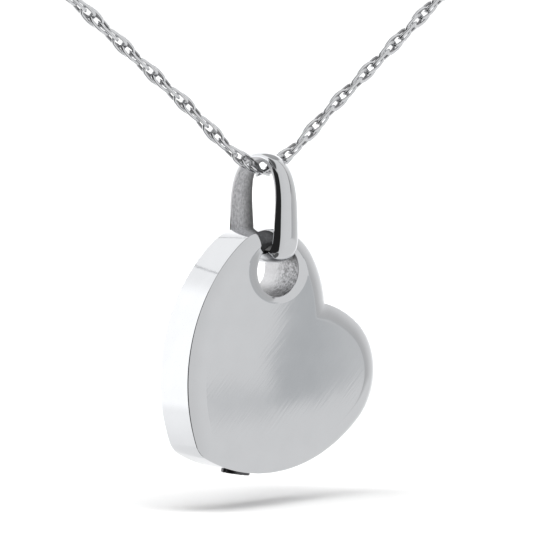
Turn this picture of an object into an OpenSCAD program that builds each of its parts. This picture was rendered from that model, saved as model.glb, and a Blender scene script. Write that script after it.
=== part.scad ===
// Slanted heart keepsake urn pendant on its bail and rope chain, in the form it has when worn.
// Millimetres, +Z up. The wearer faces -Y, so the front view looks along +Y with +X to the right.
// The origin is where the clasp rests on the nape of the neck.

/* [Heart] */
// Radius of each lobe
lobe_r = 6.5; // [5.8:0.1:8]
// Distance from the heart's middle line to the centre of a lobe
lobe_x = 5.65; // [4.9:0.05:6.4]
// Radius of the long curve from a lobe to the tip
side_r = 17.2; // [15:0.1:21]
// Radius of the flat curve from a lobe to the notch
brow_r = 11.2; // [9:0.1:15]
// Radius of the rounded tip
tip_r = 2.5; // [2.1:0.1:3.5]
// Thickness of the straight side wall, from crisp edge to crisp edge
wall_t = 4.3; // [3.4:0.1:6]
// Height by which each puffed face stands above the side wall
puff_h = 0.6; // [0.3:0.05:0.8]
// Radius of the rolled border of each face
roll_r = 3; // [2:0.1:3.6]
// Angle by which the heart's middle line hangs turned from upright
slant = 49.5; // [35:0.5:60]

/* [Urn] */
// Thickness of metal round the ash chamber, at the edge
shell_side = 1; // [0.7:0.05:1.6]
// Thickness of metal over the ash chamber, at the faces
shell_face = 0.9; // [0.6:0.05:1.4]
// Radius of the bail's hole
hole_r = 2.67; // [2.5:0.01:3]
// Metal left between the bail's hole and the lobe's edge
hole_rim = 1.4; // [1:0.05:1.8]
// Direction of the bail's hole from the lobe's centre, on the upright heart
hole_dir = 127; // [110:1:145]
// Width of the bevelled ring round the bail's hole
bevel_w = 0.65; // [0.3:0.05:0.9]
// Depth of the bevelled ring round the bail's hole
bevel_h = 0.4; // [0.2:0.05:0.6]
// Thickness of the tube that keeps the bail's hole apart from the chamber
tube_t = 0.8; // [0.5:0.05:1.2]

/* [Filler] */
// Direction of the filler port from the side curve's centre, on the upright heart
port_dir = -50; // [-58:1:-35]
// Radius of the filler port
port_r = 1.25; // [1:0.05:1.4]
// Length of the filler port, through its boss
port_len = 3; // [2.4:0.1:4]
// Radius of the boss round the filler port
boss_r = 2.1; // [1.8:0.1:3]
// Radius of the recess for the screw's head
recess_r = 1.5; // [1.5:0.05:1.7]
// Depth of the recess for the screw's head
recess_h = 0.6; // [0.4:0.05:0.9]
// Clearance round the screw's shank and head
screw_gap = 0.05; // [0.03:0.01:0.1]
// How far the screw's head stands out of the heart's edge
head_proud = 0.3; // [0.1:0.05:0.5]
// How far the screw's tip stops short of the chamber
tip_short = 0.2; // [0.1:0.05:0.5]
// Width of the screw's slot
slot_w = 0.4; // [0.25:0.05:0.6]
// Depth of the screw's slot
slot_h = 0.4; // [0.2:0.05:0.5]

/* [Bail] */
// Greatest gap between the bail's legs, front to back
bail_gap = 6.7; // [6.5:0.1:8]
// Height of the bail's opening
bail_open_h = 9.2; // [8:0.1:11]
// Height of the widest place above the foot of the opening, as a share of the opening
bail_belly = 0.455; // [0.4:0.005:0.55]
// Width of the band at its foot, in the heart's hole
foot_w = 3.3; // [2.8:0.1:3.6]
// Width of the band at its top arch
arch_w = 1.8; // [1.4:0.1:2.4]
// Thickness of the band's crown at its foot
foot_t = 1; // [0.8:0.05:1.3]
// Thickness of the band's crown at its top arch
arch_t = 0.8; // [0.6:0.05:1.2]
// Thickness of the band at its two edges
edge_t = 0.22; // [0.15:0.01:0.4]
// Clearance between the bail's foot and the wall of the heart's hole
foot_gap = 0.32; // [0.2:0.01:0.5]
// How far the bail and chain hang ahead of the heart's middle plane
bail_ahead = 0.35; // [0:0.05:0.5]

/* [Chain] */
// Diameter of the rope chain, between its wide and narrow places
chain_d = 1.3; // [1:0.05:1.6]
// Clearance between the chain and the bail's arch
arch_gap = 0.42; // [0.3:0.02:0.6]

/* [Clasp] */
// Diameter of the clasp's ring, to the middle of its wire
ring_d = 5; // [4:0.1:7]
// Diameter of the ring's wire
ring_wire = 1.1; // [0.8:0.05:1.5]
// Diameter of the clasp's eye, to the middle of its wire
eye_d = 1.9; // [1.6:0.1:2.6]
// Diameter of the eye's wire
eye_wire = 0.7; // [0.5:0.05:0.9]
// Depth by which the eye is soldered into the ring
eye_sink = 0.5; // [0.3:0.05:0.6]
// Clearance between the clasp and the two ends of the chain
clasp_gap = 0.15; // [0.1:0.05:0.3]

/* [Hidden] */
$fn = 96;
steel = "silver";

// Half of the chain's route, from the middle of the V to the clasp, mirrored for the other half.
// Round numbers chosen by hand: legs as the photo shows them, then the plain way round a neck.
route = [
    [0, -124, -82], [2, -124, -81.1], [10, -124, -75.1], [24, -124, -64.6], [38, -123, -54.1],
    [51, -117, -44.5], [60, -104, -36], [64, -86, -28.5], [64, -66, -21.5], [60, -46, -14.5],
    [51, -27, -8.5], [37, -12, -4], [20, -2.5, -1], [4, 0.6, 0]
];
route_steps = 3;
tube_sides = 8;

// Upright heart in its own plane, with the lobes' centres on the X axis and the tip down.
shoulder_dir = 2.7;
brow_dir = 100;
side_x = lobe_x - (side_r - lobe_r) * cos(shoulder_dir);
side_y = -(side_r - lobe_r) * sin(shoulder_dir);
brow_x = lobe_x - (brow_r - lobe_r) * cos(brow_dir);
brow_y = -(brow_r - lobe_r) * sin(brow_dir);
tip_y = side_y - sqrt(pow(side_r - tip_r, 2) - side_x * side_x);
tip_dir = atan2(tip_y - side_y, -side_x);
roll_turn = acos((roll_r - puff_h) / roll_r);
roll_w = roll_r * sin(roll_turn);
roll_steps = 6;
tip_steps = 3;
side_steps = 18;
lobe_steps = 16;
brow_steps = 5;
face_z = wall_t / 2 + puff_h;
hole_reach = lobe_r - hole_r - hole_rim;
hole_x = -lobe_x + hole_reach * cos(hole_dir);
hole_y = hole_reach * sin(hole_dir);
head_h = recess_h - screw_gap + head_proud;
shank_h = port_len - tip_short - recess_h + screw_gap + head_h / 2;
past = 1;

// The bail's opening in its own plane, and where it hangs.
bail_stations = 72;
crown_steps = 8;
arch_round = 2.5;
foot_round = 5.5;
width_taper = 0.7;
bail_y = route[0][1];
heart_y = bail_y + bail_ahead;
chain_z = route[0][2];
arch_z = chain_z + chain_d / 2 + arch_gap;
foot_z = arch_z - bail_open_h;
belly_z = foot_z + bail_belly * bail_open_h;
hole_z = foot_z - sqrt(pow(hole_r - foot_gap, 2) - foot_w * foot_w / 4);

// The clasp's middle lies on the nape, its wire just touching the neck side of the origin.
clasp_y = ring_wire / 2;
eye_x = (ring_d + ring_wire + eye_d + eye_wire) / 2 - eye_sink;
clasp_left = -ring_d / 2 - ring_wire / 2;
clasp_right = eye_x + eye_d / 2 + eye_wire / 2;
clasp_shift = -(clasp_left + clasp_right) / 2;
chain_end = (clasp_right - clasp_left) / 2 + clasp_gap;

function unit(v) = v / norm(v);
function spread(v, p) = sign(v) * pow(abs(v), p);

// Outline of the upright heart, moved inwards by inset: tip, side, lobe and brow arcs, then the notch.
function arc(x, y, r, from, to, steps) =
    [for (k = [0 : steps - 1])
        let (a = from + (to - from) * k / steps) [x + r * cos(a), y + r * sin(a)]];
function notch_dir(inset) = acos(-brow_x / (brow_r - inset));
function half_outline(inset) = concat(
    arc(0, tip_y, tip_r - inset, -90, tip_dir, tip_steps),
    arc(side_x, side_y, side_r - inset, tip_dir, shoulder_dir, side_steps),
    arc(lobe_x, 0, lobe_r - inset, shoulder_dir, brow_dir, lobe_steps),
    arc(brow_x, brow_y, brow_r - inset, brow_dir, notch_dir(inset), brow_steps),
    [[0, brow_y + (brow_r - inset) * sin(notch_dir(inset))]]);
function outline(inset) =
    let (half = half_outline(inset))
    concat(half, [for (i = [len(half) - 2 : -1 : 1]) [-half[i][0], half[i][1]]]);

// Border of the front face as [inset, height] from the crisp edge up to the flat of the face.
border = [for (k = [0 : roll_steps]) let (a = roll_turn * (1 - k / roll_steps))
    [roll_w - roll_r * sin(a), face_z - roll_r * (1 - cos(a))]];

module heart_form() {
    levels = concat([for (k = [roll_steps : -1 : 0]) [border[k][0], -border[k][1]]], border);
    count = len(outline(0));
    points = [for (level = levels) for (p = outline(level[0])) [p[0], p[1], level[1]]];
    last = (len(levels) - 1) * count;
    walls = [for (i = [0 : len(levels) - 2]) for (j = [0 : count - 1])
        let (a = i * count, b = a + count, k = (j + 1) % count)
        each [[a + j, b + j, b + k], [a + j, b + k, a + k]]];
    caps = [[for (j = [0 : count - 1]) j], [for (j = [count - 1 : -1 : 0]) last + j]];
    polyhedron(points, concat(walls, caps), convexity = 4);
}

// Carries the upright heart to where it hangs, turned about the middle of the bail's hole.
module hang() {
    translate([0, heart_y, hole_z])
        rotate([0, slant, 0])
            rotate([90, 0, 0])
                translate([-hole_x, -hole_y, 0]) children();
}

// Stands its children on the heart's edge at the filler port, with +Z out of the port.
module at_port() {
    translate([side_x + side_r * cos(port_dir), side_y + side_r * sin(port_dir), 0])
        rotate([0, 90, port_dir]) children();
}

module heart_body() {
    color(steel) hang()
        difference() {
            heart_form();
            difference() {
                translate([0, 0, shell_face - face_z])
                    linear_extrude(2 * (face_z - shell_face)) polygon(outline(shell_side));
                translate([hole_x, hole_y, -face_z]) cylinder(r = hole_r + tube_t, h = 2 * face_z);
                at_port() translate([0, 0, -port_len]) cylinder(r = boss_r, h = port_len);
            }
            translate([hole_x, hole_y, -face_z - past]) cylinder(r = hole_r, h = 2 * (face_z + past));
            for (s = [0, 1])
                mirror([0, 0, s])
                    translate([hole_x, hole_y, face_z - bevel_h])
                        cylinder(r1 = hole_r, r2 = hole_r + bevel_w, h = bevel_h);
            at_port() {
                translate([0, 0, -port_len - past]) cylinder(r = port_r, h = port_len + 2 * past);
                translate([0, 0, -recess_h]) cylinder(r = recess_r, h = recess_h + past);
            }
        }
}

module filler_screw() {
    color(steel) hang() at_port()
        difference() {
            union() {
                translate([0, 0, tip_short - port_len]) cylinder(r = port_r - screw_gap, h = shank_h);
                translate([0, 0, screw_gap - recess_h]) cylinder(r = recess_r - screw_gap, h = head_h);
            }
            translate([-recess_r, -slot_w / 2, head_proud - slot_h])
                cube([2 * recess_r, slot_w, slot_h + past]);
        }
}

// A point of the bail's opening, as [depth, height] from the belly, at angle t round the loop.
function loop_point(t) =
    let (up = sin(t) >= 0, rise = up ? arch_z - belly_z : belly_z - foot_z,
         p = 2 / (up ? arch_round : foot_round))
    [bail_gap / 2 * spread(cos(t), p), rise * spread(sin(t), p)];
function loop_taper(z) = pow(max(0, (arch_z - belly_z - z) / bail_open_h), width_taper);
function loop_out(t) =
    let (d = loop_point(t + 1) - loop_point(t - 1)) unit([d[1], -d[0]]);
function bail_ring(t) =
    let (p = loop_point(t), n = loop_out(t), share = loop_taper(p[1]),
         half = (arch_w + (foot_w - arch_w) * share) / 2, crown_t = arch_t + (foot_t - arch_t) * share)
    [[half, p[0], p[1]],
     for (k = [0 : crown_steps])
         let (a = 180 * k / crown_steps, out = edge_t + (crown_t - edge_t) * sin(a))
         [half * cos(a), p[0] + n[0] * out, p[1] + n[1] * out],
     [-half, p[0], p[1]]];

module bail() {
    count = crown_steps + 3;
    points = [for (i = [0 : bail_stations - 1]) each bail_ring(360 * i / bail_stations)];
    faces = [for (i = [0 : bail_stations - 1]) for (j = [0 : count - 1])
        let (a = i * count, b = (i + 1) % bail_stations * count, k = (j + 1) % count)
        each [[a + j, b + j, b + k], [a + j, b + k, a + k]]];
    color(steel) translate([0, bail_y, belly_z]) polyhedron(points, faces, convexity = 4);
}

// The whole route, from the left end at the clasp round by the V to the right end.
half_route = [for (i = [0 : len(route) - 2]) route[i], [chain_end, clasp_y, 0]];
full_route = concat(
    [for (i = [len(half_route) - 1 : -1 : 1]) [-half_route[i][0], half_route[i][1], half_route[i][2]]],
    half_route);

// Smooth curve through the route: slopes come from the neighbours, spaced by distance.
function gap_after(i) = norm(full_route[i + 1] - full_route[i]);
function slope(i) =
    i == 0 ? unit(full_route[1] - full_route[0])
    : i == len(full_route) - 1 ? unit(full_route[i] - full_route[i - 1])
    : let (a = gap_after(i - 1), b = gap_after(i))
      unit((full_route[i] - full_route[i - 1]) / a * b + (full_route[i + 1] - full_route[i]) / b * a);
function curve(i, s) =
    let (d = gap_after(i), s2 = s * s, s3 = s2 * s)
    (2 * s3 - 3 * s2 + 1) * full_route[i] + (s3 - 2 * s2 + s) * d * slope(i)
    + (3 * s2 - 2 * s3) * full_route[i + 1] + (s3 - s2) * d * slope(i + 1);
chain_path = [
    for (i = [0 : len(full_route) - 2]) for (k = [0 : route_steps - 1]) curve(i, k / route_steps),
    full_route[len(full_route) - 1]];

function path_dir(i) =
    unit(chain_path[min(i + 1, len(chain_path) - 1)] - chain_path[max(i - 1, 0)]);
function tube_ring(i) =
    let (t = path_dir(i), side = unit(cross(t, [0, 0, 1])), up = cross(side, t))
    [for (k = [0 : tube_sides - 1])
        let (a = 360 * (k + 0.5) / tube_sides)
        chain_path[i] + chain_d / 2 * (cos(a) * side + sin(a) * up)];

module chain() {
    last = len(chain_path) - 1;
    points = [for (i = [0 : last]) each tube_ring(i)];
    walls = [for (i = [0 : last - 1]) for (j = [0 : tube_sides - 1])
        let (a = i * tube_sides, b = a + tube_sides, k = (j + 1) % tube_sides)
        each [[a + j, b + k, b + j], [a + j, a + k, b + k]]];
    caps = [[for (j = [tube_sides - 1 : -1 : 0]) j],
        [for (j = [0 : tube_sides - 1]) last * tube_sides + j]];
    color(steel) polyhedron(points, concat(walls, caps), convexity = 4);
}

module wire_ring(d, wire) {
    rotate([90, 0, 0]) rotate_extrude() translate([d / 2, 0]) circle(d = wire);
}

module clasp() {
    color(steel) translate([clasp_shift, clasp_y, 0]) {
        wire_ring(ring_d, ring_wire);
        translate([eye_x, 0, 0]) wire_ring(eye_d, eye_wire);
    }
}

heart_body();
filler_screw();
bail();
chain();
clasp();
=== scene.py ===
import math

import bmesh
import bpy
from mathutils import Matrix, Vector


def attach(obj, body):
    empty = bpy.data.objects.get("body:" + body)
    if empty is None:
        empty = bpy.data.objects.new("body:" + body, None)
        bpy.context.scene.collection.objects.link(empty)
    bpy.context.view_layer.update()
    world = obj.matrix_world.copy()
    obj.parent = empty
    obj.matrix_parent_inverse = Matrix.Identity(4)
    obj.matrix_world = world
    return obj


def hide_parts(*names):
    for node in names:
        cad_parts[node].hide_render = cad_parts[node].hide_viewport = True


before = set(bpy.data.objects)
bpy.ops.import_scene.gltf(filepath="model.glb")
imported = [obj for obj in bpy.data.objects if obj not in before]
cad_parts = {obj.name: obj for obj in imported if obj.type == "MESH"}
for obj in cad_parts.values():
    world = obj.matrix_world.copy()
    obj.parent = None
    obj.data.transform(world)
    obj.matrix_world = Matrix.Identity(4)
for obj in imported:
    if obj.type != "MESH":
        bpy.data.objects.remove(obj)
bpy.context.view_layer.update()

# Sizes in millimetres, as in the part's source; MM turns them into the scene's metres.
MM = 0.001
# How near two places have to be to count as one.
TOUCH = 0.001

# Slanted heart
LOBE_R, LOBE_X = 6.5, 5.65
SIDE_R, BROW_R, TIP_R = 17.2, 11.2, 2.5
SHOULDER_DIR, BROW_DIR = 2.7, 100.0
TIP_STEPS, SIDE_STEPS, LOBE_STEPS, BROW_STEPS = 10, 36, 40, 12
WALL_T, PUFF_H, ROLL_R = 4.3, 0.6, 3.0
ROLL_STEPS, ROLL_END, CRISP_BEVEL = 10, 0.08, 0.045
# The outline starts from a tiny triangle that is merged into its first point.
SEED_R = 0.1
SLANT = 49.5
SHELL_SIDE, SHELL_FACE = 1.0, 0.9
HOLE_R, HOLE_RIM, HOLE_DIR = 2.67, 1.4, 127.0
HOLE_SIDES, TUBE_SIDES, TUBE_T = 128, 96, 0.8
# The shallow dish round the hole, from outside inwards: half width, half height and depth under
# the face. The tool that cuts it starts a little out of the metal.
DISH = [
    (4.3, 3.6, -0.03), (3.93, 3.38, 0.0), (3.52, 3.16, 0.034), (3.1, 2.94, 0.068),
    (2.76, 2.76, 0.1), (2.72, 2.72, 0.112), (2.69, 2.69, 0.135), (HOLE_R, HOLE_R, 0.18),
]
DISH_START = 0.6

# Filler port and its screw
PORT_DIR, PORT_R, PORT_LEN = -50.0, 1.25, 3.0
PORT_SIDES, PORT_OVER = 64, 1.0
BOSS_R = 2.1
RECESS_R, RECESS_H = 1.5, 0.6
SCREW_GAP, HEAD_PROUD, TIP_SHORT = 0.05, 0.3, 0.2
TIP_CHAMFER, HEAD_CHAMFER = 0.15, 0.06
# The head's rounded rim: how far in and how far down each of its points lies.
HEAD_RIM = [(0.0, 0.08), (0.025, 0.025), (0.08, 0.0)]
SLOT_W, SLOT_H, SLOT_LONG, SLOT_TOOL = 0.4, 0.4, 2.2, 1.0
# Thread grooves: their number, pitch and first place, and a groove's points (inwards, upwards).
GROOVES, THREAD, THREAD_START = 4, 0.42, 0.3
GROOVE = [(0.0, 0.0), (0.12, 0.12), (0.12, 0.17), (0.0, 0.29)]

# Bail
BAIL_GAP, BAIL_OPEN_H, BAIL_BELLY = 6.7, 9.2, 0.455
FOOT_W, ARCH_W = 3.3, 1.8
FOOT_T, ARCH_T, EDGE_T = 1.0, 0.8, 0.22
FOOT_GAP, BAIL_AHEAD = 0.32, 0.35
ARCH_ROUND, FOOT_ROUND, WIDTH_TAPER = 2.5, 5.5, 0.7
FOOT_SHOULDER, ARCH_SHOULDER = 0.7, 0.92
# Upright edge of the band, as a share of EDGE_T: at the arch, and how much less at the foot.
ARCH_EDGE, EDGE_LOSS = 1.7, 1.5
SHOULDER_FLAT = 0.2
BAIL_STATIONS, BAIL_SIDES = 112, 32
FINE_STEPS, FINE_TURN = 2880, 0.5
# How squarely a face looks inwards, or sideways, to count as the loop's inside, or its edge.
INSIDE_FACING, EDGE_FACING = 0.6, 0.97

# Chain
CHAIN_D, ARCH_GAP = 1.3, 0.42
CHAIN_END, CLASP_Y = 4.25, 0.55
ROUTE = [
    (0, -124, -82), (2, -124, -81.1), (10, -124, -75.1), (24, -124, -64.6), (38, -123, -54.1),
    (51, -117, -44.5), (60, -104, -36), (64, -86, -28.5), (64, -66, -21.5), (60, -46, -14.5),
    (51, -27, -8.5), (37, -12, -4), (20, -2.5, -1), (CHAIN_END, CLASP_Y, 0),
]
ROUTE_STEPS, WAY_REACH = 60, 8
LINK_L, LINK_W, LINK_WIRE = 3.09, 1.52, 0.34
LINK_PITCH, LINK_TURN, LINK_PHASE = 1.17, 45.0, 67.5
LINK_POINTS, RING_POINTS, WIRE_ROUND = 16, 20, 1
# A link's four corners stand out a little further than an ellipse's.
LINK_CORNERS, CORNER_FROM, CORNER_TO = 1.12, 0.3, 0.49
SLACK = 0.06
# How squarely a face looks into its link's hole to get painted shade, and the pull of the ends.
HOLE_FACING, END_PULL = 0.7, 0.3
# Inner radius of the rings that join the chain to the clasp's ring and to its eye.
RING_JOIN, EYE_JOIN = 0.8, 0.62

# Clasp
RING_D, RING_WIRE = 5.0, 1.1
EYE_D, EYE_WIRE, EYE_SINK = 1.9, 0.7, 0.5
RING_SIDES, RING_STEPS, EYE_SIDES, EYE_STEPS = 20, 72, 14, 40

# Places that follow from the sizes, worked out as in the part's source.
EYE_X = (RING_D + RING_WIRE + EYE_D + EYE_WIRE) / 2 - EYE_SINK
CLASP_SHIFT = ((RING_D + RING_WIRE) / 2 - EYE_X - (EYE_D + EYE_WIRE) / 2) / 2
SIDE_X = LOBE_X - (SIDE_R - LOBE_R) * math.cos(math.radians(SHOULDER_DIR))
SIDE_Y = -(SIDE_R - LOBE_R) * math.sin(math.radians(SHOULDER_DIR))
BROW_X = LOBE_X - (BROW_R - LOBE_R) * math.cos(math.radians(BROW_DIR))
BROW_Y = -(BROW_R - LOBE_R) * math.sin(math.radians(BROW_DIR))
TIP_Y = SIDE_Y - math.sqrt((SIDE_R - TIP_R) ** 2 - SIDE_X**2)
TIP_DIR = math.degrees(math.atan2(TIP_Y - SIDE_Y, -SIDE_X))
NOTCH_DIR = math.degrees(math.acos(-BROW_X / BROW_R))
FACE_Z = WALL_T / 2 + PUFF_H
HOLE_REACH = LOBE_R - HOLE_R - HOLE_RIM
HOLE_X = -LOBE_X + HOLE_REACH * math.cos(math.radians(HOLE_DIR))
HOLE_Y = HOLE_REACH * math.sin(math.radians(HOLE_DIR))
BAIL_Y, CHAIN_Z = ROUTE[0][1], ROUTE[0][2]
HEART_Y = BAIL_Y + BAIL_AHEAD
ARCH_Z = CHAIN_Z + CHAIN_D / 2 + ARCH_GAP
FOOT_Z = ARCH_Z - BAIL_OPEN_H
BELLY_Z = FOOT_Z + BAIL_BELLY * BAIL_OPEN_H
HOLE_Z = FOOT_Z - math.sqrt((HOLE_R - FOOT_GAP) ** 2 - FOOT_W**2 / 4)
HOLE_MIDDLE = Vector((0, HEART_Y, HOLE_Z)) * MM

# The view: the photo's viewing angle, and how far the mark falls from the picture's middle.
VIEW_TURN, VIEW_RISE, VIEW_AWAY = -40.0, 4.67, 300.0
SENSOR, FRAME_W = 36.0, 53.3
MARK = (0.0, HEART_Y - WALL_T / 2, HOLE_Z - 10.04)
MARK_RIGHT, MARK_DOWN = 0.85, 10.35
NEAR_CLIP, FAR_CLIP = 0.01, 100


# ---------------------------------------------------------------- camera
def place_camera():
    turn, rise = math.radians(VIEW_TURN), math.radians(VIEW_RISE)
    right = Vector((math.cos(turn), math.sin(turn), 0))
    level = math.cos(rise)
    ahead = Vector((-math.sin(turn) * level, math.cos(turn) * level, -math.sin(rise)))
    up = right.cross(ahead)
    spot = Vector(MARK) - (MARK_RIGHT * right - MARK_DOWN * up + VIEW_AWAY * ahead)
    bpy.ops.object.camera_add()
    camera = bpy.context.object
    camera.name = "studio_camera"
    axes = Matrix((right, up, -ahead)).transposed().to_4x4()
    camera.matrix_world = Matrix.Translation(spot * MM) @ axes
    camera.data.sensor_width = SENSOR
    camera.data.lens = SENSOR * VIEW_AWAY / FRAME_W
    camera.data.clip_start = NEAR_CLIP
    camera.data.clip_end = FAR_CLIP
    bpy.context.scene.camera = camera


# ---------------------------------------------------------------- picking and shaping by hand
def let_go():
    """Leaves edit mode and drops the selection."""
    if bpy.context.object and bpy.context.object.mode != "OBJECT":
        bpy.ops.object.mode_set(mode="OBJECT")
    bpy.ops.object.select_all(action="DESELECT")


def hold(piece):
    let_go()
    piece.select_set(True)
    bpy.context.view_layer.objects.active = piece


def open_up():
    """Opens the held piece's mesh with all of it selected."""
    bpy.ops.object.mode_set(mode="EDIT")
    bpy.ops.mesh.select_mode(type="VERT")
    bpy.ops.mesh.select_all(action="SELECT")


def close_up(name):
    bpy.ops.object.mode_set(mode="OBJECT")
    piece = bpy.context.object
    piece.name = name
    piece.data.name = name
    return piece


def pick(kind, test):
    """Selects the verts, edges or faces of the open mesh that pass the test."""
    bpy.ops.mesh.select_mode(type=kind)
    bpy.ops.mesh.select_all(action="DESELECT")
    shape = bmesh.from_edit_mesh(bpy.context.object.data)
    for part in {"VERT": shape.verts, "EDGE": shape.edges, "FACE": shape.faces}[kind]:
        if test(part):
            part.select = True
    shape.select_flush_mode()
    bmesh.update_edit_mesh(bpy.context.object.data)


def turn_outward():
    bpy.ops.mesh.select_all(action="SELECT")
    bpy.ops.mesh.normals_make_consistent(inside=False)


def draw_out(move, grow, centre):
    """Extrudes what is selected and resizes its new end about the centre."""
    bpy.ops.mesh.extrude_region_move(TRANSFORM_OT_translate={"value": move})
    bpy.ops.transform.resize(value=grow, center_override=centre)


def settle(piece):
    """Puts the piece's place into its mesh, with its object at the origin."""
    hold(piece)
    bpy.ops.object.transform_apply(location=True, rotation=True, scale=True)


def finish_with(piece, kind, **settings):
    hold(piece)
    step = piece.modifiers.new(kind.lower(), kind)
    for key, value in settings.items():
        setattr(step, key, value)
    bpy.ops.object.modifier_apply(modifier=step.name)


def cut_out(piece, tool):
    finish_with(piece, "BOOLEAN", operation="DIFFERENCE", solver="EXACT", object=tool)
    bpy.data.objects.remove(tool)


def merge_in(piece, other):
    finish_with(piece, "BOOLEAN", operation="UNION", solver="EXACT", object=other)
    bpy.data.objects.remove(other)


def smooth(piece, angle):
    hold(piece)
    bpy.ops.object.shade_smooth_by_angle(angle=math.radians(angle))


def dress(piece, body, slot, node, *finishes):
    """Gives the piece its finishes, body and node; the slot is not used. Without finishes it keeps
    what it has.
    """
    if finishes:
        piece.data.materials.clear()
    for finish in finishes:
        piece.data.materials.append(finish)
    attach(piece, body)
    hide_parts(node)


# ---------------------------------------------------------------- heart
def on_heart(x, y, depth=0.0):
    """A point of the upright heart, in millimetres, carried to where it hangs, in metres."""
    turn = math.radians(SLANT)
    dx, dy = x - HOLE_X, y - HOLE_Y
    return Vector((
        dx * math.cos(turn) + dy * math.sin(turn),
        HEART_Y + depth,
        -dx * math.sin(turn) + dy * math.cos(turn) + HOLE_Z,
    )) * MM


def draw_heart(depth):
    """Draws the heart's outline with spins, all the way round from the tip, and fills it."""
    let_go()
    bpy.ops.mesh.primitive_circle_add(
        vertices=3, radius=SEED_R * MM, location=on_heart(0, TIP_Y - TIP_R, depth)
    )
    open_up()
    bpy.ops.mesh.merge(type="CENTER")
    # Each arc: its centre, its start and end directions, and its steps.
    half = [
        (0, TIP_Y, -90, TIP_DIR, TIP_STEPS),
        (SIDE_X, SIDE_Y, TIP_DIR, SHOULDER_DIR, SIDE_STEPS),
        (LOBE_X, 0, SHOULDER_DIR, BROW_DIR, LOBE_STEPS),
        (BROW_X, BROW_Y, BROW_DIR, NOTCH_DIR, BROW_STEPS),
    ]
    mirrored = [(-x, y, 180 - end, 180 - start, n) for x, y, start, end, n in reversed(half)]
    for x, y, start, end, steps in half + mirrored:
        bpy.ops.mesh.spin(
            steps=steps, angle=math.radians(end - start), center=on_heart(x, y, depth),
            axis=(0, 1, 0),
        )
    bpy.ops.mesh.select_all(action="SELECT")
    bpy.ops.mesh.remove_doubles(threshold=TOUCH * MM)
    bpy.ops.mesh.edge_face_add()


def roll_border():
    """Insets the picked face in small steps so that its border rolls up to the flat."""
    turn = math.acos((ROLL_R - PUFF_H) / ROLL_R)
    for k in range(ROLL_STEPS):
        a, b = turn * (1 - k / ROLL_STEPS), turn * (1 - (k + 1) / ROLL_STEPS)
        bpy.ops.mesh.inset(
            thickness=ROLL_R * (math.sin(a) - math.sin(b)) * MM,
            depth=ROLL_R * (math.cos(b) - math.cos(a)) * MM,
        )
    bpy.ops.mesh.inset(thickness=ROLL_END * MM)


def on_crisp_edge(edge):
    """Whether the edge runs along one of the two crisp edges of the side wall."""
    depths = [v.co.y - HEART_Y * MM for v in edge.verts]
    return abs(sum(depths)) > (WALL_T - TOUCH) * MM and all(
        abs(abs(d) - WALL_T / 2 * MM) < TOUCH * MM for d in depths
    )


def make_hole_tool():
    """A round bar through the heart that flares out at both faces as a shallow oval dish."""
    let_go()
    bpy.ops.mesh.primitive_circle_add(
        vertices=HOLE_SIDES, radius=HOLE_R * MM, fill_type="NGON", rotation=(math.pi / 2, 0, 0),
        location=Vector((0, HEART_Y - FACE_Z - DISH_START, HOLE_Z)) * MM,
    )
    open_up()
    wide, high, _ = DISH[0]
    bpy.ops.transform.resize(
        value=(wide / HOLE_R, 1, high / HOLE_R), center_override=HOLE_MIDDLE
    )
    profile = [(wide, high, FACE_Z + DISH_START)] + [(w, h, FACE_Z - d) for w, h, d in DISH]
    profile += [(w, h, -at) for w, h, at in reversed(profile)]
    for (w0, h0, at0), (w1, h1, at1) in zip(profile, profile[1:]):
        draw_out((0, (at0 - at1) * MM, 0), (w1 / w0, 1, h1 / h0), HOLE_MIDDLE)
    turn_outward()
    return close_up("hole_tool")


def find_port():
    """The middle of the filler port's mouth, the way out of it, and a bar's turn along it."""
    turn = math.radians(PORT_DIR)
    mouth = on_heart(SIDE_X + SIDE_R * math.cos(turn), SIDE_Y + SIDE_R * math.sin(turn))
    turn = math.radians(PORT_DIR - SLANT)
    way = Vector((math.cos(turn), 0, math.sin(turn)))
    return mouth, way, (0, math.atan2(way.x, way.z), 0)


def port_bar(name, radius, low, high):
    """A round bar along the filler port, from low to high above the heart's edge."""
    let_go()
    mouth, way, facing = find_port()
    bpy.ops.mesh.primitive_cylinder_add(
        vertices=PORT_SIDES, radius=radius * MM, depth=(high - low) * MM,
        location=mouth + way * (high + low) / 2 * MM, rotation=facing,
    )
    bar = bpy.context.object
    bar.name = name
    return bar


def make_chamber_tool():
    """The heart's outline drawn in by the wall, less the hole's tube and the port's boss."""
    half_deep = FACE_Z - SHELL_FACE
    draw_heart(half_deep)
    bpy.ops.mesh.select_mode(type="FACE")
    bpy.ops.mesh.inset(thickness=SHELL_SIDE * MM)
    bpy.ops.mesh.select_all(action="INVERT")
    bpy.ops.mesh.delete(type="FACE")
    bpy.ops.mesh.select_all(action="SELECT")
    bpy.ops.mesh.extrude_region_move(
        TRANSFORM_OT_translate={"value": (0, -2 * half_deep * MM, 0)}
    )
    turn_outward()
    chamber = close_up("chamber_tool")
    settle(chamber)
    let_go()
    bpy.ops.mesh.primitive_cylinder_add(
        vertices=TUBE_SIDES, radius=(HOLE_R + TUBE_T) * MM, depth=2 * FACE_Z * MM,
        location=HOLE_MIDDLE, rotation=(math.pi / 2, 0, 0),
    )
    cut_out(chamber, bpy.context.object)
    cut_out(chamber, port_bar("boss", BOSS_R, -PORT_LEN, PORT_OVER))
    return chamber


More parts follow.
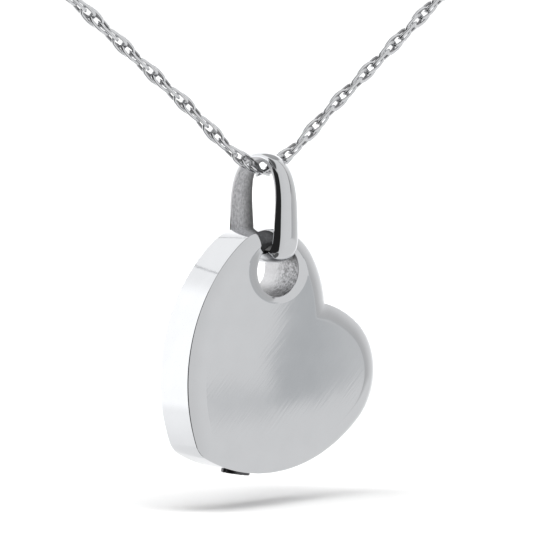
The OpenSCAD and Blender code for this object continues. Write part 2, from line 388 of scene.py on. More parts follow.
def build_heart(polished, cast_with_painted_shading):
    draw_heart(WALL_T / 2)
    bpy.ops.mesh.extrude_region_move(TRANSFORM_OT_translate={"value": (0, -WALL_T * MM, 0)})
    turn_outward()
    for side in (-1, 1):
        pick("FACE", lambda face: face.normal.y * side > 0.99)
        roll_border()
    turn_outward()
    heart = close_up("heart_urn")
    settle(heart)
    # The crisp edges carry a hair-thin bevel that catches the light.
    open_up()
    pick("EDGE", on_crisp_edge)
    bpy.ops.mesh.bevel(offset=CRISP_BEVEL * MM, segments=3, affect="EDGES")
    heart = close_up("heart_urn")
    cut_out(heart, make_chamber_tool())
    cut_out(heart, make_hole_tool())
    cut_out(heart, port_bar("port", PORT_R, -PORT_LEN - PORT_OVER, PORT_OVER))
    cut_out(heart, port_bar("recess", RECESS_R, -RECESS_H, PORT_OVER))
    smooth(heart, angle=32)
    finish_with(heart, "WEIGHTED_NORMAL", mode="FACE_AREA", weight=50, keep_sharp=True)
    dress(heart, "urn", "heart_steel", "heart_body", polished, cast_with_painted_shading)
    # The wall of the bail's hole is left as cast, with painted light and shade.
    reach, steepest = (HOLE_R + 0.02) * MM, 0.3
    for face in heart.data.polygons:
        away = face.center - HOLE_MIDDLE
        away.y = 0
        if away.length < reach and abs(face.normal.y) < steepest:
            face.material_index = 1


# ---------------------------------------------------------------- filler screw
def build_screw(finish):
    """The plug is drawn out of a disc from its tip: chamfer, thread grooves, neck, rounded head."""
    shank, head = PORT_R - SCREW_GAP, RECESS_R - SCREW_GAP
    tip, seat = TIP_SHORT - PORT_LEN, SCREW_GAP - RECESS_H
    profile = [(shank - TIP_CHAMFER, tip), (shank, tip + TIP_CHAMFER)]
    for groove in range(GROOVES):
        low = tip + THREAD_START + groove * THREAD
        profile += [(shank - inward, low + up) for inward, up in GROOVE]
    profile += [(shank, seat), (head - HEAD_CHAMFER, seat), (head, seat + HEAD_CHAMFER)]
    profile += [(head - inward, HEAD_PROUD - down) for inward, down in HEAD_RIM]
    mouth, way, facing = find_port()
    let_go()
    bpy.ops.mesh.primitive_circle_add(
        vertices=PORT_SIDES, radius=profile[0][0] * MM, fill_type="NGON",
        location=mouth + way * profile[0][1] * MM, rotation=facing,
    )
    open_up()
    for (r0, h0), (r1, h1) in zip(profile, profile[1:]):
        draw_out(way * (h1 - h0) * MM, (r1 / r0,) * 3, mouth + way * h1 * MM)
    turn_outward()
    plug = close_up("filler_plug")
    settle(plug)
    let_go()
    bpy.ops.mesh.primitive_cube_add(
        size=1, location=mouth + way * (HEAD_PROUD - SLOT_H + SLOT_TOOL / 2) * MM,
        rotation=facing, scale=(SLOT_LONG * RECESS_R * MM, SLOT_W * MM, SLOT_TOOL * MM),
    )
    cut_out(plug, bpy.context.object)
    smooth(plug, angle=35)
    dress(plug, "plug", "screw_steel", "filler_screw", finish)


# ---------------------------------------------------------------- bail
def loop_point(t):
    """A place on the edge of the bail's opening: ahead of its middle, and above its belly."""
    c, s = math.cos(math.radians(t)), math.sin(math.radians(t))
    power = 2 / (ARCH_ROUND if s >= 0 else FOOT_ROUND)
    rise = ARCH_Z - BELLY_Z if s >= 0 else BELLY_Z - FOOT_Z
    return (
        BAIL_GAP / 2 * math.copysign(abs(c) ** power, c),
        rise * math.copysign(abs(s) ** power, s),
    )


def loop_stations(count):
    """Angles round the bail's opening whose places lie evenly along it."""
    fine = [360 * k / FINE_STEPS for k in range(FINE_STEPS + 1)]
    run = [0.0]
    for a, b in zip(fine, fine[1:]):
        run.append(run[-1] + math.dist(loop_point(a), loop_point(b)))
    angles, at = [], 0
    for k in range(count):
        goal = run[-1] * k / count
        while run[at + 1] < goal:
            at += 1
        share = (goal - run[at]) / (run[at + 1] - run[at])
        angles.append(fine[at] + (fine[at + 1] - fine[at]) * share)
    return angles


def shape_section(half, rise, upright, shoulder):
    """Turns the open circle into a D: flat below, upright edges, flat shoulders, low crown."""
    shape = bmesh.from_edit_mesh(bpy.context.object.data)
    section = [v for v in shape.verts if v.select]
    level = 1e-9

    def take(test):
        for v in section:
            v.select = test(v)
        shape.select_flush_mode()

    take(lambda v: v.co.y < -level)
    bpy.ops.transform.resize(value=(1, 0, 1), center_override=(0, 0, 0))
    outermost = half * 0.9999 * MM
    take(lambda v: v.co.y > level or abs(v.co.x) > outermost and v.co.y > -level)
    bpy.ops.transform.translate(value=(0, upright * MM, 0))
    top = upright + rise * math.sqrt(1 - shoulder**2)
    lean = math.atan2(top - upright, (1 - shoulder) * half)
    run = math.hypot(top - upright, (1 - shoulder) * half)
    for side in (-1, 1):
        corner = (side * half * MM, upright * MM, 0)
        take(lambda v: True)
        bpy.ops.transform.rotate(value=-side * lean, orient_axis="Z", center_override=corner)
        take(lambda v: v.co.y > upright * MM and (v.co.x - corner[0]) * -side < run * MM)
        bpy.ops.transform.resize(value=(1, SHOULDER_FLAT, 1), center_override=corner)
        take(lambda v: True)
        bpy.ops.transform.rotate(value=side * lean, orient_axis="Z", center_override=corner)


def build_bail(polished, cast_with_painted_shading, satin):
    """Lofts the bail: a D-section is shaped at each station, set in place and bridged on."""
    let_go()
    for k, t in enumerate(loop_stations(BAIL_STATIONS)):
        here, p, q = loop_point(t), loop_point(t - FINE_TURN), loop_point(t + FINE_TURN)
        out = Vector((q[1] - p[1], -(q[0] - p[0]))).normalized()
        share = max(0.0, (ARCH_Z - BELLY_Z - here[1]) / BAIL_OPEN_H) ** WIDTH_TAPER
        half = (ARCH_W + (FOOT_W - ARCH_W) * share) / 2
        upright = EDGE_T * (ARCH_EDGE - EDGE_LOSS * share)
        rise = ARCH_T + (FOOT_T - ARCH_T) * share - upright
        shoulder = ARCH_SHOULDER + (FOOT_SHOULDER - ARCH_SHOULDER) * share
        bpy.ops.mesh.primitive_circle_add(vertices=BAIL_SIDES, radius=half * MM)
        if k == 0:
            bpy.context.object.name = "teardrop_bail"
            open_up()
        bpy.ops.transform.resize(value=(1, rise / half, 1), center_override=(0, 0, 0))
        shape_section(half, rise, upright, shoulder)
        turn = math.atan2(out.y, out.x)
        bpy.ops.transform.rotate(value=-turn, orient_axis="X", center_override=(0, 0, 0))
        place = Vector((0, BAIL_Y + here[0], BELLY_Z + here[1])) * MM
        bpy.ops.transform.translate(value=place)
        bpy.ops.mesh.hide(unselected=False)
    bpy.ops.mesh.reveal(select=True)
    bpy.ops.mesh.bridge_edge_loops(type="CLOSED")
    turn_outward()
    bail = close_up("teardrop_bail")
    settle(bail)
    smooth(bail, angle=40)
    dress(bail, "hanger", "bail_steel", "bail", polished, cast_with_painted_shading, satin)
    # The loop's inside is left as cast, with painted shade; its two edges have a satin finish.
    middle = Vector((0, BAIL_Y * MM, BELLY_Z * MM))
    for face in bail.data.polygons:
        inward = middle - face.center
        inward.x = 0
        if face.normal.dot(inward.normalized()) > INSIDE_FACING:
            face.material_index = 1
        elif abs(face.normal.x) > EDGE_FACING:
            face.material_index = 2


# ---------------------------------------------------------------- chain
def whole_route():
    """The route all the way round, drawn as in the part's source: slopes from neighbours."""
    pts = [Vector((-x, y, z)) for x, y, z in reversed(ROUTE[1:])] + [Vector(p) for p in ROUTE]
    n = len(pts)
    gaps = [(b - a).length for a, b in zip(pts, pts[1:])]
    slopes = [(pts[1] - pts[0]).normalized()]
    for i in range(1, n - 1):
        a, b = gaps[i - 1], gaps[i]
        slope = (pts[i] - pts[i - 1]) / a * b + (pts[i + 1] - pts[i]) / b * a
        slopes.append(slope.normalized())
    slopes.append((pts[-1] - pts[-2]).normalized())
    line = []
    for i in range(n - 1):
        for k in range(ROUTE_STEPS):
            s = k / ROUTE_STEPS
            d = gaps[i]
            line.append(
                (2 * s**3 - 3 * s**2 + 1) * pts[i] + (s**3 - 2 * s**2 + s) * d * slopes[i]
                + (3 * s**2 - 2 * s**3) * pts[i + 1] + (s**3 - s**2) * d * slopes[i + 1]
            )
    line.append(pts[-1])
    return line


def bend_wire(name, long, wide, points, corners=1.0):
    """A closed oval of wire along X: its middle line is drawn, then given its thickness."""
    let_go()
    bpy.ops.mesh.primitive_circle_add(vertices=points, radius=(wide - LINK_WIRE) / 2 * MM)
    open_up()
    stretch = (long - LINK_WIRE) / (wide - LINK_WIRE)
    bpy.ops.transform.resize(value=(stretch, 1, 1), center_override=(0, 0, 0))
    if corners > 1:
        low, high = CORNER_FROM * long * MM, CORNER_TO * (long - LINK_WIRE) * MM
        pick("VERT", lambda v: low < abs(v.co.x) < high)
        bpy.ops.transform.resize(value=(1, corners, 1), center_override=(0, 0, 0))
    close_up(name)
    bpy.ops.object.convert(target="CURVE")
    bpy.context.object.data.bevel_depth = LINK_WIRE / 2 * MM
    bpy.context.object.data.bevel_resolution = WIRE_ROUND
    bpy.ops.object.convert(target="MESH")
    ring = bpy.context.object
    ring.name = ring.data.name = name
    return ring


def model_link(polished, painted_shade):
    """One oval link; the wire's side facing its hole is less polished and has painted shade."""
    link = bend_wire("one_link", LINK_L, LINK_W, LINK_POINTS, LINK_CORNERS)
    settle(link)
    link.data.materials.clear()
    link.data.materials.append(polished)
    link.data.materials.append(painted_shade)
    # Faces that look into the link's hole get painted shade.
    for face in link.data.polygons:
        inward = Vector((-face.center.x * END_PULL, -face.center.y, 0)).normalized()
        face.material_index = 1 if face.normal.dot(inward) > HOLE_FACING else 0
    return link


def build_chain(polished, painted_shade):
    line = whole_route()
    run = [0.0]
    for a, b in zip(line, line[1:]):
        run.append(run[-1] + (b - a).length)
    # Each end ring hangs from the far side of the clasp's wire, and the outermost link from it.
    joins, ends = [], []
    for side, across, wire, inner, middle in (
        (-1, RING_D, RING_WIRE, RING_JOIN, CLASP_SHIFT),
        (1, EYE_D, EYE_WIRE, EYE_JOIN, CLASP_SHIFT + EYE_X),
    ):
        at_x = middle + side * (across / 2 - wire / 2 - SLACK + inner)
        joins.append((at_x, inner))
        ends.append(abs(at_x) + inner - SLACK - LINK_WIRE + LINK_L / 2 - CHAIN_END)
    first, last = ends
    count = round((run[-1] - first - last) / LINK_PITCH)
    pitch = (run[-1] - first - last) / count
    one = model_link(polished, painted_shade)
    links = []
    at = 0
    for k in range(count + 1):
        goal = first + k * pitch
        while run[at + 1] < goal and at < len(run) - 2:
            at += 1
        share = (goal - run[at]) / (run[at + 1] - run[at])
        place = line[at].lerp(line[at + 1], share)
        before, after = max(0, at - WAY_REACH), min(len(line) - 1, at + WAY_REACH + 1)
        way = (line[after] - line[before]).normalized()
        side = way.cross(Vector((0, 0, 1))).normalized()
        up = side.cross(way)
        turn = math.radians(LINK_PHASE + LINK_TURN * k)
        flat = math.cos(turn) * side + math.sin(turn) * up
        axes = Matrix((way, flat, way.cross(flat))).transposed().to_4x4()
        mesh = one.data.copy()
        mesh.transform(Matrix.Translation(place * MM) @ axes)
        link = bpy.data.objects.new(f"link_{k:03d}", mesh)
        bpy.context.collection.objects.link(link)
        links.append(link)
    bpy.data.objects.remove(one)
    for at_x, inner in joins:
        across = 2 * (inner + LINK_WIRE)
        ring = bend_wire("end_ring", across, across, RING_POINTS)
        ring.location = Vector((at_x, CLASP_Y, 0)) * MM
        settle(ring)
        ring.data.materials.clear()
        ring.data.materials.append(polished)
        links.append(ring)
    let_go()
    for link in links:
        link.select_set(True)
    bpy.context.view_layer.objects.active = links[0]
    bpy.ops.object.join()
    chain = bpy.context.object
    chain.name = chain.data.name = "rope_chain"
    bpy.ops.object.shade_smooth()
    dress(chain, "necklace", "chain_steel", "chain")


# ---------------------------------------------------------------- clasp
def spin_ring(name, middle_x, across, wire, sides, steps):
    """A ring of round wire about Y: the wire's end is a circle that is spun all the way round."""
    let_go()
    middle = Vector((middle_x, CLASP_Y, 0)) * MM
    bpy.ops.mesh.primitive_circle_add(
        vertices=sides, radius=wire / 2 * MM, location=middle + Vector((across / 2 * MM, 0, 0))
    )
    open_up()
    bpy.ops.mesh.spin(steps=steps, angle=2 * math.pi, center=middle, axis=(0, 1, 0))
    bpy.ops.mesh.select_all(action="SELECT")
    bpy.ops.mesh.remove_doubles(threshold=0.1 * TOUCH * MM)
    turn_outward()
    ring = close_up(name)
    settle(ring)
    return ring


def build_clasp(finish):
    ring = spin_ring("ring_clasp", CLASP_SHIFT, RING_D, RING_WIRE, RING_SIDES, RING_STEPS)
    eye = spin_ring("eye", CLASP_SHIFT + EYE_X, EYE_D, EYE_WIRE, EYE_SIDES, EYE_STEPS)
    merge_in(ring, eye)
    smooth(ring, angle=40)
    dress(ring, "necklace", "clasp_steel", "clasp", finish)


# ---------------------------------------------------------------- finishes
# Steel is a little stronger in blue. Depths of the bumps are in metres.
COOL, FAINT_COOL = 1.02, 1.01
SCRATCH_DEEP, CAST_DEEP, CAST_BUMP = 0.00002, 0.00005, 0.6
HAZE_SHADE, CAST_ROUGH_RANGE = 0.97, 0.25


def add_node(tree, kind, source=None, **values):
    """Adds a node with its source plugged into its first input, and sets inputs by their names."""
    node = tree.nodes.new("ShaderNode" + kind)
    if source:
        tree.links.new(source, node.inputs[0])
    for key, value in values.items():
        node.inputs[key.replace("_", " ")].default_value = value
    return node


def set_ramp(ramp, low, low_colour, high, high_colour):
    first, second = ramp.color_ramp.elements
    first.position, first.color = low, (*low_colour, 1)
    second.position, second.color = high, (*high_colour, 1)


def new_finish(name):
    finish = bpy.data.materials.new(name)
    finish.use_nodes = True
    return finish, finish.node_tree, finish.node_tree.nodes["Principled BSDF"]


def put_bump(tree, shader, height, strength, distance):
    bump = add_node(tree, "Bump", Strength=strength, Distance=distance)
    tree.links.new(height, bump.inputs["Height"])
    tree.links.new(bump.outputs["Normal"], shader.inputs["Normal"])


def polished_steel(name, colour, low, high, scratch):
    """Mirror-polished steel: faint haze that varies, and fine polishing lines in its bump."""
    finish, tree, shader = new_finish(name)
    shader.inputs["Metallic"].default_value = 1.0
    place = tree.nodes.new("ShaderNodeTexCoord").outputs["Object"]
    haze = add_node(tree, "TexNoise", place, Scale=420, Detail=4).outputs["Fac"]
    rough = add_node(tree, "MapRange", haze, To_Min=low, To_Max=high)
    tree.links.new(rough.outputs["Result"], shader.inputs["Roughness"])
    tint = tree.nodes.new("ShaderNodeValToRGB")
    set_ramp(tint, 0.3, [c * HAZE_SHADE for c in colour], 0.7, colour)
    tree.links.new(haze, tint.inputs["Fac"])
    tree.links.new(tint.outputs["Color"], shader.inputs["Base Color"])
    stretch = add_node(
        tree, "Mapping", place, Rotation=(0, math.radians(-45), 0), Scale=(12, 1, 1)
    )
    stretch.vector_type = "TEXTURE"
    lines = add_node(tree, "TexNoise", stretch.outputs["Vector"], Scale=3000, Detail=3)
    put_bump(tree, shader, lines.outputs["Fac"], scratch, SCRATCH_DEEP)
    return finish


def cast_steel_with_painted_shading(name, light, dark, rough_low, fades, drawn=1.0):
    """Unpolished cast steel: darker-pitted grain drawn out upwards, with painted light and shade.

    A fade paints light and shade along an axis: where full and where clear, its share and tone.
    """
    finish, tree, shader = new_finish(name)
    shader.inputs["Metallic"].default_value = 1.0
    place = tree.nodes.new("ShaderNodeTexCoord").outputs["Object"]
    draw = add_node(tree, "Mapping", place, Scale=(1, 1, 1 / drawn**2)).outputs["Vector"]
    grain = add_node(tree, "TexNoise", draw, Scale=3600 * drawn, Detail=6, Roughness=0.65)
    grain = grain.outputs["Fac"]
    tint = tree.nodes.new("ShaderNodeValToRGB")
    set_ramp(tint, 0.36, (dark, dark, dark * COOL), 0.62, (light, light, light * COOL))
    tree.links.new(grain, tint.inputs["Fac"])
    colour = tint.outputs["Color"]
    split = tree.nodes.new("ShaderNodeSeparateXYZ")
    tree.links.new(place, split.inputs[0])
    # Painted light and shade: each fade mixes its tone into the grain's colour.
    for axis, full, clear, share, painted_tone in fades:
        fade = add_node(
            tree, "MapRange", split.outputs[axis],
            From_Min=min(full, clear) * MM, From_Max=max(full, clear) * MM,
            To_Min=share if full < clear else 0.0, To_Max=0.0 if full < clear else share,
        )
        fade.interpolation_type = "SMOOTHSTEP"
        painted_tone_mix = add_node(tree, "MixRGB", Color2=(painted_tone, painted_tone, painted_tone * FAINT_COOL, 1))
        tree.links.new(fade.outputs["Result"], painted_tone_mix.inputs["Fac"])
        tree.links.new(colour, painted_tone_mix.inputs["Color1"])
        colour = painted_tone_mix.outputs["Color"]
    tree.links.new(colour, shader.inputs["Base Color"])
    rough = add_node(
        tree, "MapRange", grain, To_Min=rough_low + CAST_ROUGH_RANGE, To_Max=rough_low
    )
    tree.links.new(rough.outputs["Result"], shader.inputs["Roughness"])
    put_bump(tree, shader, grain, CAST_BUMP, CAST_DEEP)
    return finish


# ---------------------------------------------------------------- studio
FLOOR_Z, FLOOR_SIZE, FLOOR_TONE = -115.6, 12, 0.93
WORLD_LIGHT = 1.05
# The row of lamps over the pendant: its leans, turn, shift and light, and the fill's light.
ROW_LEANS, ROW_TURN, ROW_SHIFT = [-40, -24, -8, 8, 24, 40], 38, (-0.189, -0.114)
ROW_LIGHT, FILL_LIGHT, LAMP_ANGLE, LAMP_UP = 3.45, 0.98, 30, 0.5
STUDIO_MIDDLE = Vector((0.0, HEART_Y, HOLE_Z - 8)) * MM
# The card stands where the heart's flat face mirrors it. Its places are metres from its middle.
CARD_FACING, CARD_AWAY, CARD_WIDE, CARD_TALL = (0.64, -0.76, -0.08), 0.3, 0.14, 0.16
CARD_TONE = (0.455, 0.465, 0.475, 1)
FRAY_SLANT, FRAY_DRAWN, FRAY_SCALE, FRAY_DETAIL, FRAY_SHIFT = 48, 9.0, 800, 2, 0.008
# Each edge of the card's dark part: from where to where it fades. The left one leans, the low one
# is bowed, and a part of the dark is left over beyond the right one.
LEFT_EDGE, LEAN_RUN, LEAN_SHIFT = (-0.0037, -0.0009), (-0.010, 0.002), 0.003
LOW_EDGE, BOW_START, BOW_LONG, BOW_RISE = (-0.0207, -0.0183), -0.0014, 0.019, 19.2
RIGHT_EDGE, RIGHT_LEFT_OVER = (0.005, 0.016), 0.5
TOP_EDGE, FAR_EDGE = (0.03, 0.07), (0.024, 0.05)
# The level band at the left: its height, half width, share, and where its two ends fade.
BAND_DOWN, BAND_HALF, BAND_SHARE = 0.0188, 0.0055, 0.45
BAND_LEFT, BAND_RIGHT = (-0.0175, -0.0145), (-0.003, 0.0)
DOME_R, TENT_LIGHT = 0.8, 1.13
# The tent's zones, by the direction from its middle: from where to where each fades, and its
# tone. The roof, the floor's edge and what is below are greyer than the white tent.
ROOF_RUN, ROOF_TONE = (0.49, 0.58), 0.83
EDGE_RUN, EDGE_TONE = (-0.32, -0.25), 0.86
BELOW_RUN, BELOW_TONE = (-0.65, -0.3), 0.82
FRONT_RUN = (-0.15, 0.45)
GREY_RUN, GREY_LEFT, GREY_RIGHT = (-0.6, 0.5), 0.61, 0.66
# A darker panel in the grey, at the right of the tent's front, and how dark it is.
PANEL_ACROSS, PANEL_UP, PANEL_BACK, PANEL_DEPTH = (0.668, 0.7), (-0.2, -0.13), (-0.72, -0.1), 0.31
FLAG_TURN, FLAG_WIDE, FLAG_DEPTH, FLAG_TOP = 187.5, 43.0, 0.97, (0.7, 0.8)
# The pole's plane, its half width, how dark it is, and from where upwards and across it is seen.
POLE_AXIS, POLE_HALF, POLE_DEPTH = (0.684, 0.586, -0.435), (0.012, 0.03), 0.85
POLE_UP, POLE_ACROSS = (0.16, 0.24), (0.4, 0.55)
# Dark spots of the tent: where they are seen, how wide in degrees, and how dark.
SPOTS = [
    ((-0.3, 0.0, 0.95), 22, 0.85), ((-0.35, -0.1, -0.93), 20, 0.85), ((0.4, 0.42, 0.82), 20, 0.6),
]


def lay_floor():
    let_go()
    bpy.ops.mesh.primitive_plane_add(size=FLOOR_SIZE, location=(0, 0, FLOOR_Z * MM))
    floor = bpy.context.object
    floor.name = "pale_floor"
    finish, _, shader = new_finish("pale_floor")
    shader.inputs["Base Color"].default_value = (FLOOR_TONE, FLOOR_TONE, FLOOR_TONE, 1)
    shader.inputs["Roughness"].default_value = 0.9
    shader.inputs["Specular IOR Level"].default_value = 0.0
    floor.data.materials.append(finish)
    floor.visible_glossy = False


class Sums:
    """Small helper that chains Math nodes."""

    def __init__(self, tree):
        self.nodes, self.links = tree.nodes, tree.links

    def put(self, socket, value):
        if isinstance(value, bpy.types.NodeSocket):
            self.links.new(value, socket)
        else:
            socket.default_value = value

    def do(self, kind, a, b=0.0):
        step = self.nodes.new("ShaderNodeMath")
        step.operation = kind
        self.put(step.inputs[0], a)
        self.put(step.inputs[1], b)
        return step.outputs[0]

    def add(self, a, b):
        return self.do("ADD", a, b)

    def less(self, a, b):
        return self.do("SUBTRACT", a, b)

    def times(self, a, b):
        return self.do("MULTIPLY", a, b)

    def most(self, a, b):
        return self.do("MAXIMUM", a, b)

    def size(self, a):
        return self.do("ABSOLUTE", a)

    def ease(self, value, low, high, to_low=0.0, to_high=1.0):
        step = self.nodes.new("ShaderNodeMapRange")
        step.interpolation_type = "SMOOTHSTEP"
        self.put(step.inputs["Value"], value)
        step.inputs["From Min"].default_value = low
        step.inputs["From Max"].default_value = high
        step.inputs["To Min"].default_value = to_low
        step.inputs["To Max"].default_value = to_high
        return step.outputs["Result"]


def glow_finish(name):
    """A finish that glows where its share is 1 and is clear where it is 0."""
    finish = bpy.data.materials.new(name)
    finish.use_nodes = True
    tree = finish.node_tree
    tree.nodes.clear()
    end = tree.nodes.new("ShaderNodeOutputMaterial")
    mix = tree.nodes.new("ShaderNodeMixShader")
    light = tree.nodes.new("ShaderNodeEmission")
    clear = tree.nodes.new("ShaderNodeBsdfTransparent")
    tree.links.new(clear.outputs[0], mix.inputs[1])
    tree.links.new(light.outputs[0], mix.inputs[2])
    tree.links.new(mix.outputs[0], end.inputs["Surface"])
    place = tree.nodes.new("ShaderNodeTexCoord")
    split = tree.nodes.new("ShaderNodeSeparateXYZ")
    tree.links.new(place.outputs["Object"], split.inputs[0])
    return finish, Sums(tree), place, split, light, mix


def hang_shade():
    """The darker card that the flat face mirrors: a frayed upright edge, a slanting lower edge."""
    let_go()
    facing = Vector(CARD_FACING).normalized()
    middle = STUDIO_MIDDLE + facing * CARD_AWAY
    bpy.ops.mesh.primitive_plane_add(size=1, location=middle)
    open_up()
    bpy.ops.transform.resize(value=(CARD_WIDE, CARD_TALL, 1), center_override=middle)
    card = close_up("shade_card")
    card.rotation_mode = "QUATERNION"
    card.rotation_quaternion = facing.to_track_quat("Z", "Y")
    for sight in ("camera", "diffuse", "shadow"):
        setattr(card, "visible_" + sight, False)
    finish, sums, place, split, light, mix = glow_finish("shade_card")
    add, less, times, ease = sums.add, sums.less, sums.times, sums.ease
    right_of, above = split.outputs["X"], split.outputs["Y"]
    light.inputs["Color"].default_value = CARD_TONE
    # The fray: noise drawn out along a slant shifts the edges a little.
    turn = sums.nodes.new("ShaderNodeMapping")
    turn.vector_type = "TEXTURE"
    turn.inputs["Rotation"].default_value = (0, 0, math.radians(FRAY_SLANT))
    turn.inputs["Scale"].default_value = (FRAY_DRAWN, 1.0, 1.0)
    sums.links.new(place.outputs["Object"], turn.inputs["Vector"])
    fray = sums.nodes.new("ShaderNodeTexNoise")
    fray.inputs["Scale"].default_value = FRAY_SCALE
    fray.inputs["Detail"].default_value = FRAY_DETAIL
    sums.links.new(turn.outputs["Vector"], fray.inputs["Vector"])
    loose = times(less(fray.outputs["Fac"], 0.5), FRAY_SHIFT)
    x, y = add(right_of, loose), add(above, loose)
    lean = ease(above, *LEAN_RUN, 0, LEAN_SHIFT)
    left = ease(less(x, lean), *LEFT_EDGE)
    bow = sums.do("MINIMUM", sums.most(add(right_of, -BOW_START), 0.0), BOW_LONG)
    bow = times(times(bow, bow), BOW_RISE)
    low = ease(less(y, bow), *LOW_EDGE)
    right = ease(right_of, *RIGHT_EDGE, 1, RIGHT_LEFT_OVER)
    top = times(ease(above, *TOP_EDGE, 1, 0), ease(right_of, *FAR_EDGE, 1, 0))
    share = times(times(left, low), times(right, top))
    # A fainter level band carries on to the left of the dark part.
    band = ease(sums.size(add(y, BAND_DOWN)), 0.0, BAND_HALF, BAND_SHARE, 0.0)
    ends = times(ease(x, *BAND_LEFT), ease(x, *BAND_RIGHT, 1, 0))
    sums.put(mix.inputs[0], sums.most(share, times(band, ends)))
    card.data.materials.append(finish)


def cos_of(degrees):
    return math.cos(math.radians(degrees))


def sum_along(sums, place, axis):
    """How far a place lies along an axis."""
    x, y, z = (sums.times(p, a) for p, a in zip(place, axis))
    return sums.add(sums.add(x, y), z)


def hang_dome():
    """The tent as the steel mirrors it: white behind, grey in front, a black flag at the left."""
    let_go()
    bpy.ops.mesh.primitive_uv_sphere_add(
        segments=48, ring_count=24, radius=DOME_R, location=STUDIO_MIDDLE
    )
    dome = bpy.context.object
    dome.name = "studio_dome"
    finish, sums, place, split, light, mix = glow_finish("studio_dome")
    add, less, times, ease = sums.add, sums.less, sums.times, sums.ease
    unit = sums.nodes.new("ShaderNodeVectorMath")
    unit.operation = "NORMALIZE"
    sums.links.new(place.outputs["Object"], unit.inputs[0])
    sums.links.new(unit.outputs["Vector"], split.inputs[0])
    x, y, z = split.outputs["X"], split.outputs["Y"], split.outputs["Z"]
    roof = ease(z, *ROOF_RUN, 1.0, ROOF_TONE)
    edge = ease(z, *EDGE_RUN, EDGE_TONE, 1.0)
    below = ease(z, *BELOW_RUN, BELOW_TONE, 1.0)
    white = times(times(roof, TENT_LIGHT), times(edge, below))
    front = ease(y, *FRONT_RUN, 1.0, 0.0)
    panel = times(ease(x, *PANEL_ACROSS), ease(z, *PANEL_UP))
    panel = times(panel, ease(y, *PANEL_BACK, PANEL_DEPTH, 0.0))
    grey = times(ease(x, *GREY_RUN, GREY_LEFT, GREY_RIGHT), less(1.0, panel))
    glow = add(times(grey, front), times(white, less(1.0, front)))
    # The flag at the left.
    level = sums.do("SQRT", add(times(x, x), times(y, y)))
    flag = math.radians(FLAG_TURN)
    toward = add(times(x, math.cos(flag)), times(y, math.sin(flag)))
    toward = sums.do("DIVIDE", toward, level)
    across = ease(toward, cos_of(FLAG_WIDE + 2), cos_of(FLAG_WIDE - 3))
    flagged = times(across, ease(sums.size(z), *FLAG_TOP, 1.0, 0.0))
    flagged = times(flagged, FLAG_DEPTH)
    spots = 0.0
    for aim, wide, depth in SPOTS:
        near = sum_along(sums, (x, y, z), Vector(aim).normalized())
        spots = sums.most(ease(near, cos_of(wide + 3), cos_of(wide - 3), 0.0, depth), spots)
    # A thin dark pole leans across the tent's front, above the pendant.
    off = sums.size(sum_along(sums, (x, y, z), POLE_AXIS))
    pole = times(ease(off, *POLE_HALF, POLE_DEPTH, 0.0), ease(z, *POLE_UP))
    pole = times(pole, ease(x, *POLE_ACROSS))
    dark = sums.most(sums.most(flagged, spots), pole)
    sums.put(light.inputs["Strength"], times(glow, less(1.0, dark)))
    light.inputs["Color"].default_value = (1, 1, 1.005, 1)
    mix.inputs[0].default_value = 1.0
    dome.data.materials.append(finish)
    for sight in ("camera", "diffuse", "shadow", "transmission"):
        setattr(dome, "visible_" + sight, False)


def hang_lamp(name, lean, light, shadow):
    """A soft lamp that leans by so many degrees along the row."""
    let_go()
    bpy.ops.object.light_add(type="SUN", location=(0, HEART_Y * MM, LAMP_UP))
    lamp = bpy.context.object
    tilt, turn = math.radians(lean), math.radians(ROW_TURN)
    along = math.sin(tilt)
    source = Vector((math.sin(turn) * along, -math.cos(turn) * along, math.cos(tilt)))
    source += Vector((*ROW_SHIFT, 0))
    lamp.rotation_mode = "QUATERNION"
    lamp.rotation_quaternion = source.to_track_quat("Z", "Y")
    lamp.name = name
    lamp.data.angle = math.radians(LAMP_ANGLE)
    lamp.data.energy = light
    lamp.data.use_shadow = shadow
    lamp.visible_camera = False
    lamp.visible_glossy = False


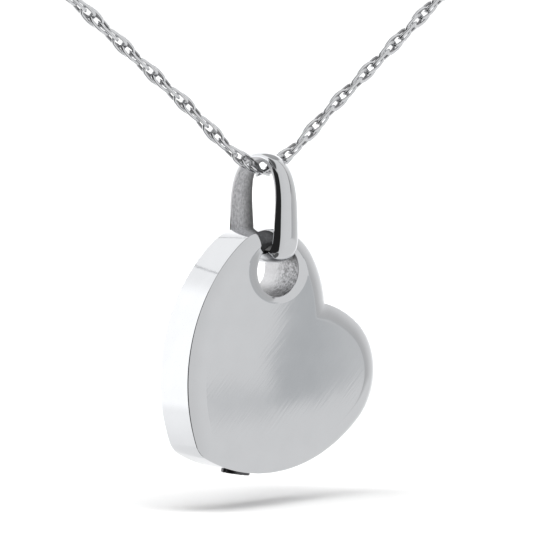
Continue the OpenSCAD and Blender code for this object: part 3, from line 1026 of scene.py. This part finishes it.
def light_studio():
    """A row of soft lamps over the pendant, an even fill that casts no shadow, and the tent."""
    scene = bpy.context.scene
    scene.view_settings.view_transform = "Standard"
    world = bpy.data.worlds.new("studio")
    scene.world = world
    world.use_nodes = True
    backdrop = world.node_tree.nodes["Background"]
    backdrop.inputs["Color"].default_value = (1, 1, 1, 1)
    backdrop.inputs["Strength"].default_value = WORLD_LIGHT
    world.cycles_visibility.diffuse = False
    for k, lean in enumerate(ROW_LEANS):
        hang_lamp(f"row_lamp_{k}", lean, ROW_LIGHT / len(ROW_LEANS) / cos_of(lean), True)
    hang_lamp("fill_lamp", 0, FILL_LIGHT, False)
    hang_dome()
    hang_shade()


# ---------------------------------------------------------------- making it
place_camera()
light_studio()
lay_floor()
bright = polished_steel("polished_steel", (0.885, 0.898, 0.915), 0.03, 0.07, 0.05)
# Painted light at the bore's back, painted shadow at its top under the bail, darker at its bottom.
hole_cast_painted_light_and_shade = cast_steel_with_painted_shading("cast_steel_with_painted_shading", 0.9, 0.35, 0.38, [
    ("Y", HEART_Y + 1.6, HEART_Y - 1.2, 0.9, 0.98),
    ("Z", HOLE_Z + 1.5, HOLE_Z + 0.3, 0.85, 0.03),
    ("Z", HOLE_Z - 2.7, HOLE_Z - 1.3, 0.5, 0.1),
])
# Painted shade in the loop's inside: towards +X, at the foot and on the front leg.
bail_cast_painted_shade = cast_steel_with_painted_shading("bail_cast_steel_painted_shade", 1.0, 0.66, 0.42, [
    ("X", 1.4, -0.5, 0.9, 0.12),
    ("Z", FOOT_Z - 0.5, FOOT_Z + 2.0, 0.7, 0.01),
    ("Y", BAIL_Y - 1.5, BAIL_Y + 2.5, 0.8, 0.01),
], drawn=1.4)
satin = polished_steel("satin_edge", (0.66, 0.66, 0.67), 0.3, 0.4, 0.1)
wire = polished_steel("polished_wire", (0.96, 0.97, 0.985), 0.06, 0.12, 0.1)
# Painted shade between the links: a much darker, less polished wire for the links' insides.
wire_with_painted_shade = polished_steel("wire_in_painted_shade", (0.42, 0.42, 0.43), 0.25, 0.4, 0.1)
build_heart(bright, hole_cast_painted_light_and_shade)
# The filler screw's steel is painted near black: painted shade on its head.
build_screw(polished_steel("screw_steel", (0.14, 0.14, 0.145), 0.3, 0.45, 0.1))
build_bail(bright, bail_cast_painted_shade, satin)
build_chain(wire, wire_with_painted_shade)
build_clasp(wire)

let_go()
